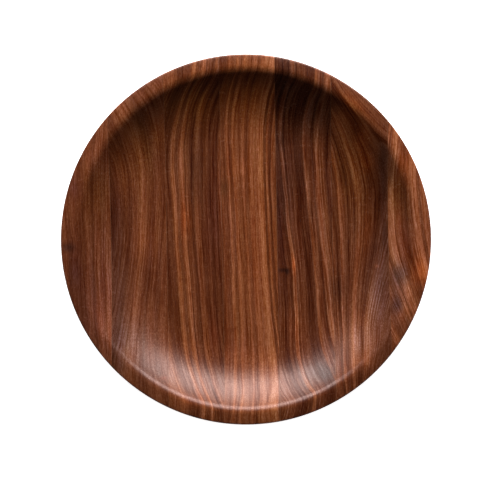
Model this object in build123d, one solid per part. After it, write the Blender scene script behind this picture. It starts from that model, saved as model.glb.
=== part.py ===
from build123d import *
import math
import os

# An offering plate: a shallow round dish, turned from a blank of seven wooden staves that are glued edge to
# edge. All sizes are in millimetres and all slopes are in degrees from level.
# The origin is the centre of the foot's resting face. +Z is up, and the staves and their grain run along Y.

# The dish
plate_diameter = 305.0
overall_height = 36.0
rim_width = 9.0  # from the top of the ridge out to the widest edge
well_depth = 24.0  # from the top of the ridge down to the floor of the well
foot_diameter = 204.0
foot_ring_width = 13.0
foot_recess = 2.0  # the underside inside the foot ring is cut back by this much

# The blank
stave_width = 46.0
stave_count = 7
joint_offset = 3.0  # the middle stave's centre line lies this far to +X of the dish's axis
glue_thickness = 0.12

# The inside of the wall is one cove that rises from the floor, and it rolls over a soft ridge into the rim
wall_slope = 47.0  # where the cove meets the ridge
ridge_round = 9.0

# The rim is crowned and falls a little outwards to a small round at the widest edge
rim_slope_at_ridge = 3.0
rim_slope_at_edge = 9.0
edge_round = 1.5

# The outside of the wall turns in under the rim and flattens towards the foot
shoulder_radius = 16.0
shoulder_slope = 36.0  # where the shoulder meets the underside
underside_radius = 100.0
foot_chamfer = 0.8

plate_radius = plate_diameter / 2
foot_radius = foot_diameter / 2
floor_height = overall_height - well_depth


def sine(slope):
    return math.sin(math.radians(slope))


def cosine(slope):
    return math.cos(math.radians(slope))


def inside_edges():
    """The inside of the section, from the axis along the floor and up the cove to the ridge."""
    cove_radius = well_depth / (1 - cosine(wall_slope)) - ridge_round
    floor_radius = plate_radius - rim_width - (cove_radius + ridge_round) * sine(wall_slope)
    floor = Line((0, floor_height), (floor_radius, floor_height))
    cove = JernArc(floor @ 1, floor % 1, cove_radius, wall_slope)
    return [floor, cove]


def rim_edges(cove):
    """The ridge, the crown of the rim and the round at the widest edge, from the top of the cove."""
    ridge_run = ridge_round * sine(rim_slope_at_ridge)
    edge_run = edge_round * (1 - sine(rim_slope_at_edge))
    crown_run = rim_width - ridge_run - edge_run
    crown_radius = crown_run / (sine(rim_slope_at_edge) - sine(rim_slope_at_ridge))

    ridge = JernArc(cove @ 1, cove % 1, ridge_round, -wall_slope - rim_slope_at_ridge)
    crown = JernArc(ridge @ 1, ridge % 1, crown_radius, rim_slope_at_ridge - rim_slope_at_edge)
    edge = JernArc(crown @ 1, crown % 1, edge_round, rim_slope_at_edge - 90)
    return [ridge, crown, edge]


def outside_edges(edge):
    """The outside of the wall, from the widest edge in to where it meets the foot."""
    shoulder = JernArc(edge @ 1, edge % 1, shoulder_radius, shoulder_slope - 90)
    run_to_foot = (shoulder @ 1).X - foot_radius
    slope_at_foot = math.degrees(math.asin(sine(shoulder_slope) - run_to_foot / underside_radius))
    underside = JernArc(shoulder @ 1, shoulder % 1, underside_radius, slope_at_foot - shoulder_slope)
    return [shoulder, underside]


def foot_edges(underside):
    """The foot ring with its chamfered corners, and the recess inside it, back to the axis."""
    recess_radius = foot_radius - foot_ring_width
    corners = [
        underside @ 1,
        (foot_radius, foot_chamfer),
        (foot_radius - foot_chamfer, 0),
        (recess_radius + foot_chamfer, 0),
        (recess_radius, foot_chamfer),
        (recess_radius, foot_recess),
        (0, foot_recess),
        (0, floor_height),
    ]
    return Polyline(corners).edges()


def dish():
    """The whole dish as one turned shape, before the joints part it into staves."""
    inside = inside_edges()
    rim = rim_edges(inside[-1])
    outside = outside_edges(rim[-1])
    foot = foot_edges(outside[-1])
    section = make_face([*inside, *rim, *outside, *foot])
    return revolve(Plane.XZ * section, Axis.Z)


def slice_along_x(shape, low, high):
    """The part of a shape that lies between two planes square to X."""
    depth = plate_diameter + 10
    height = overall_height + 10
    slab = Box(high - low, depth, height, align=(Align.MIN, Align.CENTER, Align.CENTER))
    return shape & Pos(low, 0, overall_height / 2) * slab


def joint_positions():
    """The X of each glued joint, from the left of the plate to the right."""
    leftmost = joint_offset - stave_width * (stave_count - 2) / 2
    return [leftmost + stave_width * number for number in range(stave_count - 1)]


os.makedirs("parts", exist_ok=True)
turned = dish()
joints = joint_positions()

# The end staves reach past the plate's edge, so their outer bound is only the edge of the dish
past_edge = plate_radius + 1
lows = [-past_edge] + [joint + glue_thickness / 2 for joint in joints]
highs = [joint - glue_thickness / 2 for joint in joints] + [past_edge]

for number, (low, high) in enumerate(zip(lows, highs), start=1):
    export_step(slice_along_x(turned, low, high), f"parts/stave_{number}.step")

for number, joint in enumerate(joints, start=1):
    film = slice_along_x(turned, joint - glue_thickness / 2, joint + glue_thickness / 2)
    export_step(film, f"parts/glue_line_{number}.step")
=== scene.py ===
from math import asin, ceil, cos, degrees, e, pi, radians, sin, tan

import bmesh
import bpy
from mathutils import Matrix, Vector


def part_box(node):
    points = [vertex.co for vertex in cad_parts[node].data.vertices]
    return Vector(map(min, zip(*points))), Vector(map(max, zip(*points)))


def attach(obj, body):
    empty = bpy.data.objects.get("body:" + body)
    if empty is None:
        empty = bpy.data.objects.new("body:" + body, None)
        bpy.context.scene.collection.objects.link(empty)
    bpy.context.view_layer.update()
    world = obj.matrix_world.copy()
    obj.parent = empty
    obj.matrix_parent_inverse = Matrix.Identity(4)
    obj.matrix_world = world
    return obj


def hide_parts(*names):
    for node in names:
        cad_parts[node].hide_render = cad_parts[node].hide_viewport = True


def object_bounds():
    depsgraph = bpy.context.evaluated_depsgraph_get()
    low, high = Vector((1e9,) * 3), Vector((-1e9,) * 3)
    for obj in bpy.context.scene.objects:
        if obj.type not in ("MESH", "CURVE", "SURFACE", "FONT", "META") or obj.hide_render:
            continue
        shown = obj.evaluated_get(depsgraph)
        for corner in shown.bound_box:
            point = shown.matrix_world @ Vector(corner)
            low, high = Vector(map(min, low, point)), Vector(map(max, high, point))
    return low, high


# An offering plate of seven walnut staves with a glue line between each two, on a pale table under one
# broad soft light. Lengths are in metres and slopes in degrees, except in the grain, which is in
# millimetres.
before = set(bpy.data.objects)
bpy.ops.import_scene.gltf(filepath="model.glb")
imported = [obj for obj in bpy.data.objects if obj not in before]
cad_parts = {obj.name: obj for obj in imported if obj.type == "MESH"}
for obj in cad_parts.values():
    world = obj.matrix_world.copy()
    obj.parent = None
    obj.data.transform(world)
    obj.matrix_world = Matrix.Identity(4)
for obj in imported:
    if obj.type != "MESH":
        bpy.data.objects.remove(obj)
cad_low, cad_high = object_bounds()

# The dish's overall size comes from the frame, and the curves of its section repeat the CAD model's
plate_radius = cad_high.y
overall_height = cad_high.z
rim_width = 0.009
well_depth = 0.024
foot_radius = 0.102
foot_ring_width = 0.013
foot_recess = 0.002
wall_slope = 47.0
ridge_round = 0.009
rim_slope_at_ridge = 3.0
rim_slope_at_edge = 9.0
edge_round = 0.0015
shoulder_radius = 0.016
shoulder_slope = 36.0
underside_radius = 0.1
foot_chamfer = 0.0008
floor_height = overall_height - well_depth
stave_count = 7

# How finely the dish is turned, and the turn between two faces that shows as a sharp edge
turning_steps = 480
degrees_per_step = 2.5
sharp_edge = 30.0

# A ring of points just inside the edge of the floor, at this share of its radius, keeps its shading flat
floor_ring = 0.98

# The camera looks straight down, from this high above the edge of the rim, which lies below the top by a
# share of the well's depth. The plate sits a little up and left in its view.
camera_height = 1.87
edge_below_top = 0.1
plate_share_of_view = 0.741
plate_left_of_middle = 0.0030
plate_above_middle = 0.0211
camera_roll = -1.0
sensor_width = 36.0

# The light stands behind the plate, and a little to the right of it. Each panel runs from one elevation to
# another, seen from the plate, with a share of the whole light's brightness, so that its edges fade.
light_distance = 1.5
light_half_width = 38.0
light_to_right = 7.0
light_radiance = 9.25
light_panels = [
    (3.0, 12.0, 0.45),
    (12.0, 22.0, 0.8),
    (22.0, 36.0, 1.12),
    (36.0, 46.0, 1.2),
    (46.0, 56.0, 0.42),
    (56.0, 64.0, 0.08),
]
fill_radiance = 0.02
table_half_width = 6.0
table_glow = 1.0


def sine(slope):
    return sin(radians(slope))


def cosine(slope):
    return cos(radians(slope))


def tangent(slope):
    return tan(radians(slope))


# The meshes


def bend(outline, heading, new_heading, radius):
    """Adds a round stretch to the end of an outline of (distance from the axis, height) points."""
    start_across, start_up = outline[-1]
    turn = radius if new_heading > heading else -radius
    steps = ceil(abs(new_heading - heading) / degrees_per_step)
    for step in range(1, steps + 1):
        now = heading + (new_heading - heading) * step / steps
        across = start_across + turn * (sine(now) - sine(heading))
        up = start_up + turn * (cosine(heading) - cosine(now))
        outline.append((across, up))


def add_inside(outline):
    """The floor of the well, the cove, the ridge and the crowned rim, out to the widest edge."""
    cove_radius = well_depth / (1 - cosine(wall_slope)) - ridge_round
    floor_radius = plate_radius - rim_width - (cove_radius + ridge_round) * sine(wall_slope)
    ridge_run = ridge_round * sine(rim_slope_at_ridge)
    edge_run = edge_round * (1 - sine(rim_slope_at_edge))
    crown_run = rim_width - ridge_run - edge_run
    crown_radius = crown_run / (sine(rim_slope_at_edge) - sine(rim_slope_at_ridge))

    outline.append((floor_radius * floor_ring, floor_height))
    outline.append((floor_radius, floor_height))
    bend(outline, 0, wall_slope, cove_radius)
    bend(outline, wall_slope, -rim_slope_at_ridge, ridge_round)
    bend(outline, -rim_slope_at_ridge, -rim_slope_at_edge, crown_radius)
    bend(outline, -rim_slope_at_edge, -90, edge_round)


def add_outside(outline):
    """The outside of the wall, from the widest edge in to the foot."""
    bend(outline, -90, shoulder_slope - 180, shoulder_radius)
    run_to_foot = outline[-1][0] - foot_radius
    slope_at_foot = degrees(asin(sine(shoulder_slope) - run_to_foot / underside_radius))
    bend(outline, shoulder_slope - 180, slope_at_foot - 180, underside_radius)


def add_foot(outline):
    """The foot ring and the edge of the recess inside it."""
    recess_radius = foot_radius - foot_ring_width
    outline += [
        (foot_radius, foot_chamfer),
        (foot_radius - foot_chamfer, 0),
        (recess_radius + foot_chamfer, 0),
        (recess_radius, foot_chamfer),
        (recess_radius, foot_recess),
    ]


def turned_dish():
    """The whole dish as one closed bmesh, turned about Z."""
    outline = []
    add_inside(outline)
    add_outside(outline)
    add_foot(outline)

    dish = bmesh.new()
    rings = []
    for across, up in outline:
        ring = []
        for step in range(turning_steps):
            angle = 2 * pi * step / turning_steps
            ring.append(dish.verts.new((across * cos(angle), across * sin(angle), up)))
        rings.append(ring)

    for inner, outer in zip(rings, rings[1:]):
        for step in range(turning_steps):
            after = (step + 1) % turning_steps
            dish.faces.new((inner[step], outer[step], outer[after], inner[after]))
    dish.faces.new(rings[0])
    dish.faces.new(reversed(rings[-1]))
    bmesh.ops.recalc_face_normals(dish, faces=dish.faces)
    return dish


def keep_one_side(piece, x, side):
    """Cuts a closed bmesh square to X, keeps its low or high side, and closes the cut."""
    everything = piece.verts[:] + piece.edges[:] + piece.faces[:]
    cut = bmesh.ops.bisect_plane(
        piece,
        geom=everything,
        plane_co=(x, 0, 0),
        plane_no=(1, 0, 0),
        clear_inner=side == "high",
        clear_outer=side == "low",
    )
    rim_of_cut = [part for part in cut["geom_cut"] if isinstance(part, bmesh.types.BMEdge)]
    caps = bmesh.ops.holes_fill(piece, edges=rim_of_cut)["faces"]
    bmesh.ops.triangulate(piece, faces=caps)


def slice_of_dish(dish, name, low_x, high_x):
    """The part of the dish between two planes square to X, as an object. Either plane may be None."""
    piece = dish.copy()
    if low_x is not None:
        keep_one_side(piece, low_x, "high")
    if high_x is not None:
        keep_one_side(piece, high_x, "low")
    for face in piece.faces:
        face.smooth = True
    mesh = bpy.data.meshes.new(name)
    piece.to_mesh(mesh)
    piece.free()
    mesh.set_sharp_from_angle(angle=radians(sharp_edge))
    thing = bpy.data.objects.new(name, mesh)
    bpy.context.scene.collection.objects.link(thing)
    return thing


# The materials


class Recipe:
    """Builds one material's nodes. Each method gives back the socket that holds its result."""

    def __init__(self, name):
        self.material = bpy.data.materials.new(name)
        self.material.use_nodes = True
        self.nodes = self.material.node_tree.nodes
        self.links = self.material.node_tree.links
        self.nodes.clear()
        place = self.nodes.new("ShaderNodeTexCoord")
        scale = self.nodes.new("ShaderNodeVectorMath")
        scale.operation = "SCALE"
        scale.inputs["Scale"].default_value = 1000
        split = self.nodes.new("ShaderNodeSeparateXYZ")
        self.links.new(place.outputs["Object"], scale.inputs[0])
        self.links.new(scale.outputs[0], split.inputs[0])
        # The place on the object in millimetres
        self.x, self.y, self.z = split.outputs

    def put(self, socket, value):
        """Sets a socket to a number or a colour, or joins it to another socket."""
        if isinstance(value, bpy.types.NodeSocket):
            self.links.new(value, socket)
        else:
            socket.default_value = value

    def math(self, operation, *values):
        """One step of arithmetic."""
        node = self.nodes.new("ShaderNodeMath")
        node.operation = operation
        for socket, value in zip(node.inputs, values):
            self.put(socket, value)
        return node.outputs[0]

    def subtract(self, first, second):
        return self.math("SUBTRACT", first, second)

    def multiply(self, *values):
        product = values[0]
        for value in values[1:]:
            product = self.math("MULTIPLY", product, value)
        return product

    def between(self, value, low, high, to_low=0.0, to_high=1.0):
        """Maps low..high smoothly to to_low..to_high, and holds the ends beyond that."""
        node = self.nodes.new("ShaderNodeMapRange")
        node.interpolation_type = "SMOOTHSTEP"
        for name, number in (("Value", value), ("From Min", low), ("From Max", high)):
            self.put(node.inputs[name], number)
        self.put(node.inputs["To Min"], to_low)
        self.put(node.inputs["To Max"], to_high)
        return node.outputs["Result"]

    def noise(self, across, cell, detail=2.0):
        """Noise from 0 to 1, in cells of so many millimetres across, along Y and up.

        Across is X or the rings.
        """
        place = self.nodes.new("ShaderNodeCombineXYZ")
        for socket, value, size in zip(place.inputs, (across, self.y, self.z), cell):
            self.put(socket, self.multiply(value, 1 / size))
        node = self.nodes.new("ShaderNodeTexNoise")
        self.put(node.inputs["Vector"], place.outputs[0])
        node.inputs["Scale"].default_value = 1
        node.inputs["Detail"].default_value = detail
        return node.outputs["Fac"]

    def swing(self, noise):
        """Spreads noise about its middle to roughly -1 to 1."""
        return self.math("MULTIPLY_ADD", noise, 5.0, -2.5)

    def ramp(self, value, stops, interpolation="LINEAR"):
        """A colour ramp of (place from 0 to 1, colour) stops."""
        node = self.nodes.new("ShaderNodeValToRGB")
        node.color_ramp.interpolation = interpolation
        elements = node.color_ramp.elements
        elements.remove(elements[0])
        for number, (place, colour) in enumerate(stops):
            element = elements[0] if number == 0 else elements.new(place)
            element.position = place
            element.color = colour
        self.put(node.inputs["Fac"], value)
        return node.outputs["Color"]

    def bump(self, height, strength, distance):
        """Relief: a height times a distance in metres."""
        node = self.nodes.new("ShaderNodeBump")
        node.inputs["Strength"].default_value = strength
        node.inputs["Distance"].default_value = distance
        self.put(node.inputs["Height"], height)
        return node.outputs["Normal"]

    def shift(self, changes, amount, change):
        """Adds an amount of one red, green and blue change to a running total of them."""
        node = self.nodes.new("ShaderNodeVectorMath")
        node.operation = "MULTIPLY_ADD"
        for socket, value in zip(node.inputs, (amount, change, changes)):
            self.put(socket, value)
        return node.outputs[0]

    def change(self, colour, changes):
        """Multiplies red, green and blue by e to the power of their own change."""
        split = self.nodes.new("ShaderNodeSeparateXYZ")
        self.links.new(changes, split.inputs[0])
        factors = self.nodes.new("ShaderNodeCombineColor")
        for socket, power in zip(factors.inputs, split.outputs):
            self.links.new(self.math("POWER", e, power), socket)
        product = self.nodes.new("ShaderNodeMix")
        product.data_type = "RGBA"
        product.blend_type = "MULTIPLY"
        self.put(product.inputs["Factor"], 1.0)
        self.put(product.inputs["A"], colour)
        self.put(product.inputs["B"], factors.outputs[0])
        return product.outputs["Result"]

    def spot(self, x, y, reach_x, reach_y):
        """One at a place on the plate in millimetres, fading to nothing about two reaches away."""
        across = self.multiply(self.subtract(self.x, x), 1 / reach_x)
        along = self.multiply(self.subtract(self.y, y), 1 / reach_y)
        distance = self.math("MULTIPLY_ADD", along, along, self.multiply(across, across))
        return self.math("POWER", 1 / e, distance)

    def finish(self, colour, roughness, normal, specular, wax=0.0, glow=0.0):
        """Puts the surface together, and gives back the material."""
        shader = self.nodes.new("ShaderNodeBsdfPrincipled")
        shader.inputs["Emission Color"].default_value = (1, 1, 1, 1)
        shader.inputs["Emission Strength"].default_value = glow
        shader.inputs["Specular IOR Level"].default_value = specular
        shader.inputs["Specular Tint"].default_value = sheen_colour
        self.put(shader.inputs["Base Color"], colour)
        self.put(shader.inputs["Roughness"], roughness)
        self.put(shader.inputs["Coat Weight"], wax)
        shader.inputs["Coat Roughness"].default_value = wax_roughness
        self.put(shader.inputs["Normal"], normal)
        output = self.nodes.new("ShaderNodeOutputMaterial")
        self.links.new(shader.outputs[0], output.inputs[0])
        return self.material


# Walnut from its darkest tone, 0, to its lightest, 10, two tones a step
walnut_tones = [
    (0.0, (0.0470, 0.0090, 0.0025, 1)),
    (0.2, (0.0640, 0.0140, 0.0042, 1)),
    (0.4, (0.0930, 0.0230, 0.0075, 1)),
    (0.6, (0.1400, 0.0380, 0.0135, 1)),
    (0.8, (0.2050, 0.0600, 0.0225, 1)),
    (1.0, (0.2850, 0.0980, 0.0430, 1)),
]

# The oiled wood shines in a little of its own colour, which the glue and the table share, under a thin
# film of wax
sheen_colour = (1.0, 0.66, 0.59, 1.0)
wax_roughness = 0.26

# How strongly a fine line that is darker or lighter changes red, green and blue: a dark one is also redder
fine_line_powers = (0.75, 1.23, 1.8)

# How the wood turns from amber to plum along its rings
warmth_change = (0.0, -0.01, 0.09)

# How far the rings wander, in millimetres, and how far finer detail moves the bands' tone, from 0 to 1
ring_wander = 0.6
broad_line_tone = 0.04
figure_tone = 0.02

# How much stronger a dark line is than a light one, and how strong fibres, specks and pores are beside them
dark_line_excess = 0.35
fibre_strength = 0.35
speck_strength = 0.2
pore_strength = 0.3

# Where pores start in their noise, and where they are full
pores_start = 0.66
pores_full = 0.76

# The surface is a satin that is rougher in the pores. The pores have a depth in metres, and the fibres stand
# up by a share of it.
wood_roughness = 0.26
figure_roughness = 0.015
pore_roughness = 0.12
wood_specular = 0.34
relief_strength = 0.1
pore_relief = 0.00003
fibre_relief = 0.3

# The wax film grows between two strengths of the lines, from dark to light
depth_without_wax = -0.8
depth_of_most_wax = 1.4
most_wax = 0.7

# Each stave's grain, in millimetres.
# - bands: the broad light and dark bands, each an X on the plate's middle line and a tone.
# - drift: how far the rings drift to +X at 100 mm of Y, by its first, second and third power.
# - fan: how much more they drift at the stave's right edge, by the first and second power, and as much less
#   at its left.
# - lean: how far they lean to +X for each millimetre of height, how much more at the right edge, and how
#   much more at 100 mm of Y.
# - bulges: an X and a Y, a reach along X and Y, and how far the rings are pushed to +X there, round a knot.
# - streaks: how strong the fine lines are.
# - tint: the change of the whole stave's red, green and blue, by natural logarithms.
# - the colour patches: an X and a Y, a reach along X and Y, and the change of red, green and blue there.
#   Most are the wood's own colour, but some are painted light: a sheen haze on the lower walls, a highlight
#   at the ridge, and a warmer, less blue shade on the shaded upper walls.
staves = {
    1: {
        "drift": (-1.0, 4.0, 0.0), "fan": (2.0, 0.0), "lean": (0.0, 0.0, 0.0),
        "bulges": [(-142, -3, 8, 9, 2.0)],
        "streaks": 0.46, "tint": (0, 0, 0),
        "tone_and_painted_light_patches": [
            (-143, 42, 14, 30, (0.28, 0.28, 0.28)),
            (-141, 45, 6, 10, (-0.08, 0, 0.5)),
            (-125, 70, 8, 12, (0.3, 0.35, 0.5)),
            (-127, -38, 6, 22, (-0.25, -0.25, -0.22)),
            (-125, -50, 25, 45, (-0.03, 0, 0.25)),
            (-127, -72, 8, 12, (0.22, 0.3, 0.5)),
            # Painted shade: less blue where the upper wall lies in shade, for the warm light that bounces
            # there
            (-122, 40, 14, 22, (0, 0, -0.2)),
            (-116, -10, 5, 50, (-0.04, 0, 0.16)),
            (-146, -4, 5, 3.5, (-0.8, -0.75, -0.45)),
            (-140, -24, 5, 14, (-0.3, -0.25, 0.1)),
        ],
        "bands": [
            (-152, 5.5), (-149, 5.5), (-146, 3.5), (-142, 4), (-136, 3.5), (-134, 4), (-131, 5.5),
            (-129.5, 5), (-127, 3.7), (-124, 6), (-122, 6.5), (-120, 5.5), (-118, 5.5), (-116, 6.5),
            (-114, 6.5), (-111, 6),
        ],
    },
    2: {
        "drift": (8.0, -7.0, -6.0), "fan": (0.0, 5.0), "lean": (0.0, 0.15, -0.06),
        "bulges": [],
        "streaks": 0.46, "tint": (0, 0, 0),
        "tone_and_painted_light_patches": [
            (-102, 55, 10, 20, (0.4, 0.4, 0.3)),
            (-88, 100, 10, 14, (-0.4, -0.4, -0.5)),
            # Painted sheen: a bluish haze of the light's reflection on the lower wall
            (-108, -60, 10, 60, (-0.15, 0.07, 0.45)),
            (-108, 10, 6, 40, (-0.06, 0, 0.25)),
            # Painted sheen: a bluish haze of the light's reflection on the lower wall
            (-100, -82, 18, 16, (-0.15, 0.06, 0.42)),
            (-88, -40, 12, 25, (-0.15, -0.15, -0.1)),
            (-84, 0, 12, 16, (0.18, 0.18, 0.15)),
            (-78, -20, 8, 20, (0, 0, 0.15)),
            (-70, 90, 5, 14, (0.25, 0.2, 0)),
            (-70, 68, 6, 10, (0, 0, 0.15)),
            # Painted shade: less blue where the upper wall lies in shade, for the warm light that bounces
            # there
            (-88, 75, 22, 20, (0, 0, -0.25)),
            (-92, -100, 12, 8, (-0.2, -0.2, -0.15)),
            (-80, -108, 14, 10, (-0.42, -0.42, -0.35)),
            (-70.5, -113, 3, 1.6, (0.35, 0.15, 0.1)),
        ],
        "bands": [
            (-113, 0.5), (-110, 2), (-107, 3.5), (-105, 4), (-103, 4), (-101, 4.5), (-98, 3.5), (-96, 4),
            (-94, 5.5), (-91, 6), (-87, 7.5), (-85.5, 7), (-83, 6), (-81, 5.5), (-79, 4.5), (-77, 5.5),
            (-75, 6), (-70, 4.5), (-67, 6), (-64, 5.5),
        ],
    },
    3: {
        "drift": (-4.6, 2.0, 1.6), "fan": (0.8, 1.9), "lean": (0.6, -0.12, 0.0),
        "bulges": [],
        "streaks": 0.55, "tint": (0.02, 0, -0.08),
        "tone_and_painted_light_patches": [
            (-41, 60, 5, 32, (-0.55, -0.55, -0.48)),
            (-36, 112, 8, 12, (0.25, 0.25, 0)),
            (-50, 18, 5, 14, (0.45, 0.42, 0.35)),
            # Painted shade: less blue where the upper wall lies in shade, for the warm light that bounces
            # there
            (-45, 112, 25, 20, (0, 0, -0.25)),
            (-62, 66, 5, 10, (-0.18, -0.18, -0.15)),
            # Painted highlight: the light's sheen carried further out onto the ridge towards -Y
            (-48, -132, 8, 6, (0.4, 0.35, 0.3)),
            (-26, 20, 7, 50, (0.03, 0.03, 0.35)),
            (-28, -80, 6, 16, (0.35, 0.32, 0.4)),
        ],
        "bands": [
            (-80, 6), (-77, 6), (-73, 7), (-71, 6), (-69, 4), (-66, 3), (-63, 4), (-61.5, 3.5),
            (-60, 4.5), (-58, 8), (-56.5, 8), (-55, 5), (-53.5, 4.5), (-52, 6.5), (-50.5, 9), (-49, 7.5),
            (-48, 4), (-47, 5.5), (-45, 4.5), (-42.5, 3), (-40.5, 6.5), (-39, 6.5), (-37, 5), (-35, 3),
            (-33, 4), (-31, 4), (-28.5, 2), (-26, 3.5), (-23, 2.5), (-21, 6), (-19, 5),
        ],
    },
    4: {
        "drift": (-3.5, 1.2, 1.1), "fan": (-0.9, 3.2), "lean": (0.13, -0.12, 0.14),
        "bulges": [],
        "streaks": 0.46, "tint": (0.02, -0.02, -0.15),
        "tone_and_painted_light_patches": [
            (8, -25, 14, 50, (0.03, -0.03, -0.1)),
            # Painted shade: warmer and less blue where the upper wall lies in shade, for the warm light that
            # bounces there
            (0, 118, 24, 20, (0.12, 0.02, -0.35)),
            (-18, 134, 7, 12, (0.2, 0.2, 0.1)),
            (18, 108, 7, 14, (-0.2, -0.2, -0.2)),
            (-18, 43, 4, 7, (-0.3, -0.2, -0.25)),
            (-4, 60, 7, 8, (0.22, 0.22, 0.2)),
            (-16, 10, 6, 40, (0, 0, 0.15)),
            (-8, -92, 16, 14, (0.2, 0.22, 0.45)),
        ],
        "bands": [
            (-21, 3), (-20, 4), (-18, 6.5), (-16.5, 5.5), (-14, 5), (-12, 8.5), (-10.5, 6), (-9, 5),
            (-7, 8.5), (-5, 6.5), (-2, 6), (-1, 6), (0.5, 7.5), (2.5, 5.5), (3.5, 5), (5.5, 7.5),
            (7.5, 8), (10, 7), (12, 8.5), (14.2, 9.5), (16, 9), (17.2, 4.5), (18.2, 4), (19.3, 8.5),
            (21, 4.5), (22, 3), (23.5, 7), (25.5, 5.5),
        ],
    },
    5: {
        "drift": (-8.8, -1.4, 3.6), "fan": (0.2, 1.9), "lean": (0.54, -0.09, -0.1),
        "bulges": [(37, -27, 8, 9, 1.0)],
        "streaks": 0.7, "tint": (0, 0, 0),
        "tone_and_painted_light_patches": [
            (34, 112, 11, 26, (-0.95, -0.95, -0.9)),
            (38, 138, 8, 9, (-0.35, -0.35, -0.3)),
            (30, 82, 4, 10, (-0.65, -0.65, -0.6)),
            (59, 104, 14, 18, (-0.85, -0.85, -0.8)),
            (32, 42, 9, 34, (-0.55, -0.55, -0.4)),
            (26, 0, 6, 40, (-0.03, 0, 0.35)),
            (48, 62, 12, 22, (-0.25, -0.25, -0.2)),
            (54, 22, 3, 14, (-0.35, -0.35, -0.3)),
            (37, -74, 9, 17, (0.42, 0.42, 0.38)),
            (62, -92, 12, 10, (-0.05, 0, 0.2)),
            (61, -111, 13, 7, (-1.25, -1.35, -1.2)),
            (30, -26, 4.5, 1.6, (-0.9, -0.9, -0.7)),
            (34, -27.5, 1.6, 2.6, (-1.1, -1.1, -0.9)),
            (39.3, -22, 1.8, 8, (0.8, 0.7, 0.6)),
            (69, -42, 3, 14, (-0.28, -0.28, -0.25)),
        ],
        "bands": [
            (16, 5), (19, 5.5), (22, 5.5), (24, 4), (26, 3.5), (30, 1), (32, 4), (34, 2.5), (35, 2.5),
            (36.3, 7.5), (38, 8), (39, 3.5), (40.5, 5), (43, 4.5), (46, 4), (48, 1.5), (52, 2),
            (53.5, 2.5), (55.2, 8), (56.5, 6), (59, 5), (61, 2.5), (62.5, 6.5), (65, 8.5), (66.5, 6),
            (68.3, 6), (70, 5), (72, 1.5), (75, 3.5), (78, 3.5),
        ],
    },
    6: {
        "drift": (6.6, -15.7, -7.9), "fan": (11.8, -15.6), "lean": (0.1, 0.55, 0.0),
        "bulges": [],
        "streaks": 0.62, "tint": (0, 0, 0),
        "tone_and_painted_light_patches": [
            (87, 104, 10, 13, (0.75, 0.7, 0.42)),
            (114, 66, 4, 13, (-0.5, -0.55, -0.5)),
            (98, 82, 7, 15, (0.75, 0.72, 0.6)),
            (102, 62, 5, 9, (0.6, 0.58, 0.45)),
            (72, 108, 4, 10, (-0.3, -0.3, -0.3)),
            # Painted shade: less blue where the upper wall lies in shade, for the warm light that bounces
            # there
            (90, 60, 20, 40, (0, 0, -0.36)),
            (97, 22, 9, 24, (-0.26, -0.26, -0.28)),
            (92, 10, 3, 10, (-0.2, -0.2, -0.2)),
            (102, 8, 6, 24, (0.5, 0.5, 0.42)),
            (115, 44, 4, 30, (-0.65, -0.58, -0.35)),
            (115, 2, 3, 13, (-0.5, -0.45, -0.2)),
            (66, -67, 8, 7, (-0.2, -0.2, -0.15)),
            (80, 52, 6, 10, (-0.25, -0.25, -0.25)),
            (76, -42, 5, 12, (-0.5, -0.5, -0.45)),
            # Painted sheen: a pale bluish haze of the light's reflection on the lower right wall
            (92, -87, 12, 17, (0.75, 1.12, 1.55)),
            (95, -68, 5, 9, (0.3, 0.3, 0.25)),
            (97, -103, 8, 7, (0.4, 0.4, 0.35)),
            # Painted sheen: a pale bluish haze of the light's reflection on the lower right wall
            (104, -56, 10, 20, (0.6, 0.9, 1.2)),
            (78, -92, 8, 12, (-0.05, 0.05, 0.25)),
            (108, -9, 5, 10, (-0.12, -0.06, 0.1)),
            # Painted sheen: a bluish haze of the light's reflection on the lower right wall
            (112, -44, 10, 44, (-0.1, 0.16, 0.72)),
            (108.5, -24, 1.6, 1.4, (0.45, 0.4, 0.4)),
        ],
        "bands": [
            (64, 5), (68, 6), (70, 4.5), (72, 6), (75, 3), (77, 4), (79, 7.5), (81, 6), (83, 4.5),
            (85.5, 3), (88, 5), (90, 4.5), (91, 6), (93, 7.5), (95, 6.5), (97, 4.5), (99, 4.5),
            (102, 2.5), (105, 1.5), (107, 2.5), (109, 5), (111, 4.5), (113, 5), (116, 4),
        ],
    },
    7: {
        "drift": (-14.0, 20.0, -6.0), "fan": (0.0, -10.0), "lean": (0.0, 0.0, 0.0),
        "bulges": [],
        "streaks": 0.58, "tint": (0.08, 0.08, 0.08),
        "tone_and_painted_light_patches": [
            (127, -31, 7, 9, (-0.8, -0.6, -0.2)),
            (132, -6, 6, 16, (0.35, 0.37, 0.62)),
            (123, -57, 5, 7, (-0.7, -0.5, -0.05)),
            # Painted sheen: a bluish haze of the light's reflection on the lower right wall
            (124, -50, 9, 26, (0.05, 0.2, 0.5)),
            (129, -62, 5, 8, (0.5, 0.45, 0.3)),
            # Painted shade: less blue where the upper wall lies in shade, for the warm light that bounces
            # there
            (125, 36, 8, 18, (0, 0, -0.3)),
            (130, 60, 5, 13, (0.65, 0.6, 0.45)),
            (119.5, 54, 4, 12, (-0.6, -0.55, -0.5)),
            (127, 14, 4, 14, (0.4, 0.38, 0.35)),
            (142, -30, 7, 12, (0.85, 0.78, 0.6)),
            (122, -84, 4, 8, (0.4, 0.4, 0.35)),
        ],
        "bands": [
            (70, 6), (80, 4), (88, 6), (96, 4), (104, 6), (110, 3.5), (112, 5), (114, 7), (116, 4.5),
            (118, 7.5), (120, 9), (123.5, 9), (125, 6), (127, 5.5), (129.5, 5), (131, 3.5), (134.5, 3),
            (136, 6), (139, 6.5), (140.5, 8.5), (144, 8.5), (145.5, 5), (147, 4.5), (148.5, 7.5),
            (151, 7), (153, 5),
        ],
    },
}


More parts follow.
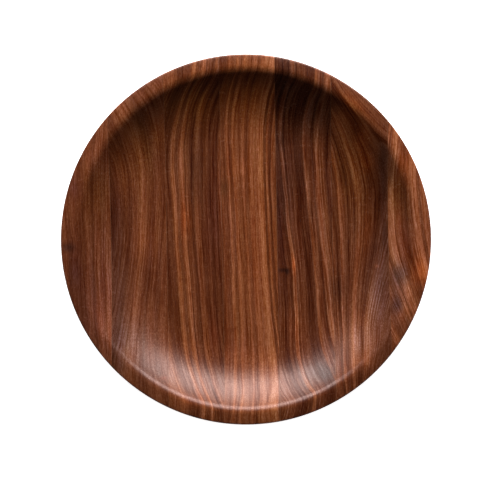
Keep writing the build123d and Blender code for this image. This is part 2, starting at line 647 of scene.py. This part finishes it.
def ring_place(wood, grain, middle_x, half_width):
    """Where in the growth rings a point lies, as the X of the same ring at the floor's middle line."""
    hundreds = wood.multiply(wood.y, 0.01)
    aside = wood.multiply(wood.subtract(wood.x, middle_x), 1 / half_width)
    height = wood.subtract(wood.z, floor_height * 1000)

    first, second, third = grain["drift"]
    drift = wood.math("MULTIPLY_ADD", hundreds, third, second)
    drift = wood.math("MULTIPLY_ADD", drift, hundreds, first)
    fan_first, fan_second = grain["fan"]
    fan = wood.math("MULTIPLY_ADD", hundreds, fan_second, fan_first)
    drift = wood.math("MULTIPLY_ADD", fan, aside, drift)
    drift = wood.multiply(drift, hundreds)

    lean, lean_across, lean_along = grain["lean"]
    lean = wood.math("MULTIPLY_ADD", aside, lean_across, lean)
    lean = wood.math("MULTIPLY_ADD", hundreds, lean_along, lean)

    straight = wood.subtract(wood.subtract(wood.x, drift), wood.multiply(lean, height))
    for x, y, reach_x, reach_y, push in grain["bulges"]:
        straight = wood.math("MULTIPLY_ADD", wood.spot(x, y, reach_x, reach_y), -push, straight)
    wander = wood.noise(wood.x, (20, 45, 20))
    return wood.math("MULTIPLY_ADD", wood.swing(wander), ring_wander, straight)


def band_tone(wood, rings, bands):
    """The tone of the broad bands, from 0 to 1, nearly level at each stop and steep between them."""
    start = bands[0][0]
    length = bands[-1][0] - start
    place = wood.multiply(wood.subtract(rings, start), 1 / length)
    stops = []
    for millimetres, tone in bands:
        level = tone / 10
        stops.append(((millimetres - start) / length, (level, level, level, 1)))
    return wood.ramp(place, stops, "EASE")


def walnut(number, low_x, high_x):
    """One stave's walnut: broad bands, fine ring lines, fibres and pores, under a satin finish."""
    grain = staves[number]
    wood = Recipe(f"walnut_{number}")
    rings = ring_place(wood, grain, (low_x + high_x) / 2, (high_x - low_x) / 2)
    tone = band_tone(wood, rings, grain["bands"])

    # Fine lines follow the rings and fade in and out along them. Where they are dark they are redder too.
    lines = wood.noise(rings, (1.1, 45, 18))
    broad_lines = wood.noise(rings, (2.6, 60, 30))
    warmth = wood.noise(rings, (3.5, 50, 25), detail=3.0)
    figure = wood.noise(wood.x, (7, 5, 7))
    fibres = wood.noise(wood.x, (0.5, 6, 0.5))
    specks = wood.noise(wood.x, (0.8, 1.5, 0.8), detail=1.0)
    pores = wood.between(wood.noise(wood.x, (0.4, 6, 0.4), detail=0.0), pores_start, pores_full)

    tone = wood.math("MULTIPLY_ADD", wood.swing(broad_lines), broad_line_tone, tone)
    tone = wood.math("MULTIPLY_ADD", wood.swing(figure), figure_tone, tone)
    colour = wood.ramp(tone, walnut_tones)

    # The dark lines are stronger than the light ones
    line = wood.swing(lines)
    depth = wood.multiply(line, wood.math("MULTIPLY_ADD", line, -dark_line_excess, 1.0), grain["streaks"])
    depth = wood.math("MULTIPLY_ADD", wood.swing(fibres), fibre_strength, depth)
    depth = wood.math("MULTIPLY_ADD", wood.swing(specks), speck_strength, depth)
    depth = wood.math("MULTIPLY_ADD", pores, -pore_strength, depth)
    changes = wood.shift(grain["tint"], depth, fine_line_powers)
    changes = wood.shift(changes, wood.swing(warmth), warmth_change)
    # Patches of colour: most are the wood's own, but some paint a sheen haze on the lower walls, a highlight
    # at the ridge, or a warmer shade on the shaded upper walls
    for x, y, reach_x, reach_y, change in grain["tone_and_painted_light_patches"]:
        changes = wood.shift(changes, wood.spot(x, y, reach_x, reach_y), change)
    colour = wood.change(colour, changes)

    roughness = wood.math("MULTIPLY_ADD", wood.swing(figure), figure_roughness, wood_roughness)
    roughness = wood.math("MULTIPLY_ADD", pores, pore_roughness, roughness)
    relief = wood.subtract(wood.multiply(wood.swing(fibres), fibre_relief), pores)
    normal = wood.bump(relief, relief_strength, pore_relief)
    # The wax lies thicker on the light lines and sinks into the dark ones
    wax = wood.between(depth, depth_without_wax, depth_of_most_wax, 0.0, most_wax)
    return wood.finish(colour, roughness, normal, wood_specular, wax)


def dried_glue():
    """Wood glue that has dried to a dark amber."""
    glue = Recipe("wood_glue")
    blotches = glue.noise(glue.x, (2, 9, 3), detail=3.0)
    colour = glue.ramp(blotches, [(0.3, (0.1, 0.045, 0.02, 1)), (0.7, (0.16, 0.08, 0.04, 1))])
    roughness = glue.between(blotches, 0.3, 0.7, 0.35, 0.55)
    return glue.finish(colour, roughness, glue.bump(blotches, 0.2, 0.00002), 0.5)


def table_top():
    """Plain pale paper."""
    paper = Recipe("pale_table")
    tooth = paper.noise(paper.x, (1, 1, 1))
    colour = paper.ramp(tooth, [(0.0, (0.93, 0.93, 0.93, 1)), (1.0, (0.96, 0.96, 0.96, 1))])
    return paper.finish(colour, 0.8, paper.bump(tooth, 0.05, 0.0001), 0.2, glow=table_glow)


# The object


def joint_span(number):
    """The low and high X of a glue line, from the frame."""
    low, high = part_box(f"glue_line_{number}")
    return low.x, high.x


def make_plate():
    """The staves and the glue lines between them, each in place of its CAD node."""
    dish = turned_dish()
    glue = dried_glue()
    for number in range(1, stave_count + 1):
        low_x = joint_span(number - 1)[1] if number > 1 else None
        high_x = joint_span(number)[0] if number < stave_count else None
        piece = slice_of_dish(dish, f"walnut_stave_{number}", low_x, high_x)
        low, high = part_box(f"stave_{number}")
        piece.data.materials.append(walnut(number, low.x * 1000, high.x * 1000))
        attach(piece, "root")
        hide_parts(f"stave_{number}")
    for number in range(1, stave_count):
        low_x, high_x = joint_span(number)
        piece = slice_of_dish(dish, f"glue_film_{number}", low_x, high_x)
        piece.data.materials.append(glue)
        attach(piece, "root")
        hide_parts(f"glue_line_{number}")
    dish.free()


# The studio


def make_table():
    """A wide flat table top, which isn't part of the object."""
    half = table_half_width
    mesh = bpy.data.meshes.new("table")
    corners = [(-half, -half, 0), (half, -half, 0), (half, half, 0), (-half, half, 0)]
    mesh.from_pydata(corners, [], [(0, 1, 2, 3)])
    mesh.materials.append(table_top())
    table = bpy.data.objects.new("table", mesh)
    bpy.context.scene.collection.objects.link(table)


def make_light():
    """A broad upright softbox behind the plate, in panels one above the other."""
    width = 2 * light_distance * tangent(light_half_width)
    for number, (low, high, share) in enumerate(light_panels, 1):
        bottom = light_distance * tangent(low)
        top = light_distance * tangent(high)
        lamp = bpy.data.lights.new(f"softbox_{number}", "AREA")
        lamp.shape = "RECTANGLE"
        lamp.size = width
        lamp.size_y = top - bottom
        lamp.energy = share * light_radiance * pi * lamp.size * lamp.size_y
        panel = bpy.data.objects.new(f"softbox_{number}", lamp)
        panel.location = (light_distance * tangent(light_to_right), light_distance, (bottom + top) / 2)
        # An area light shines along its own -Z, so it is tipped up to face -Y
        panel.rotation_euler = (radians(-90), 0, 0)
        panel.visible_camera = False
        bpy.context.scene.collection.objects.link(panel)


def make_world():
    """A dim even fill, which the camera sees as a pale wall."""
    world = bpy.data.worlds.new("studio")
    world.use_nodes = True
    nodes = world.node_tree.nodes
    links = world.node_tree.links
    nodes.clear()
    fill = nodes.new("ShaderNodeBackground")
    fill.inputs["Strength"].default_value = fill_radiance
    wall = nodes.new("ShaderNodeBackground")
    wall.inputs["Strength"].default_value = 1.0
    rays = nodes.new("ShaderNodeLightPath")
    choice = nodes.new("ShaderNodeMixShader")
    output = nodes.new("ShaderNodeOutputWorld")
    for background in (fill, wall):
        background.inputs["Color"].default_value = (1, 1, 1, 1)
    links.new(rays.outputs["Is Camera Ray"], choice.inputs[0])
    links.new(fill.outputs[0], choice.inputs[1])
    links.new(wall.outputs[0], choice.inputs[2])
    links.new(choice.outputs[0], output.inputs[0])
    bpy.context.scene.world = world


def make_camera():
    """A long lens straight above the plate, rolled a little so that the staves lean."""
    rim_height = overall_height - well_depth * edge_below_top
    view_height = 2 * plate_radius / plate_share_of_view
    lens = bpy.data.cameras.new("camera")
    lens.sensor_width = sensor_width
    lens.lens = sensor_width * camera_height / view_height
    camera = bpy.data.objects.new("camera", lens)
    across = Vector((plate_left_of_middle, -plate_above_middle, 0)) * view_height
    camera.location = Matrix.Rotation(radians(camera_roll), 3, "Z") @ across
    camera.location.z = rim_height + camera_height
    camera.rotation_euler = (0, 0, radians(camera_roll))
    bpy.context.scene.collection.objects.link(camera)
    bpy.context.scene.camera = camera


make_camera()
make_light()
make_world()
make_table()
make_plate()
bpy.context.scene.view_settings.view_transform = "Standard"
